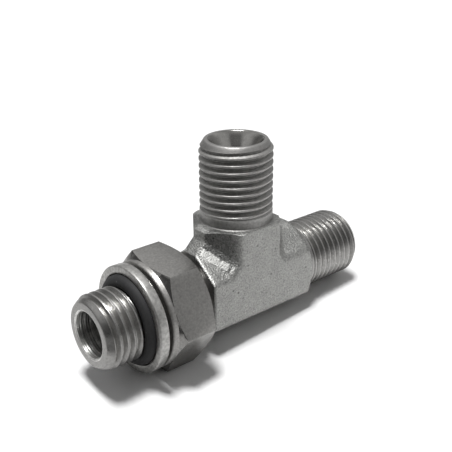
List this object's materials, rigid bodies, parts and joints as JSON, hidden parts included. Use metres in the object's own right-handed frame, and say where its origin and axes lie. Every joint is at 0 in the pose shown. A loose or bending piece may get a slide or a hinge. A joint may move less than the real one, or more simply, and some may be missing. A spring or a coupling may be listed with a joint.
{
  "type": "adjustable swivel tee fitting",
  "caption": "Forged steel tee with three male thread ends: two with inner cone seats, and a stud end with a lock nut, a retaining ring and an O-ring.",
  "frame": {"origin": "where the branch's axis meets the run's axis, in the middle of the forging", "axes": "+Z out along the branch, +X along the run to its plain threaded end, -X to the stud end with the lock nut"},
  "size_m": [0.0588, 0.0218, 0.037],
  "materials": {
    "forged_steel": "plated forging, blasted matt, with machined threads",
    "turned_steel": "plated and turned, satin",
    "seal_rubber": "smooth nitrile rubber"
  },
  "bodies": {
    "tee": {"tee_body": "forged_steel"},
    "seal": {"retaining_ring": "turned_steel", "o_ring": "seal_rubber"},
    "nut": {"lock_nut": "turned_steel"}
  },
  "joints": [
    {"name": "nut_travel", "type": "slide", "parent": "tee", "child": "seal", "axis": [1, 0, 0], "range_m": [0, 0.0022]},
    {"name": "nut_turn", "type": "hinge", "parent": "seal", "child": "nut", "pos_m": [-0.01675, 0, 0], "axis": [1, 0, 0], "range_deg": [0, 594]}
  ],
  "couplings": [
    {"joint": "nut_turn", "follows": "nut_travel", "rad_per_m": 4699.5}
  ]
}
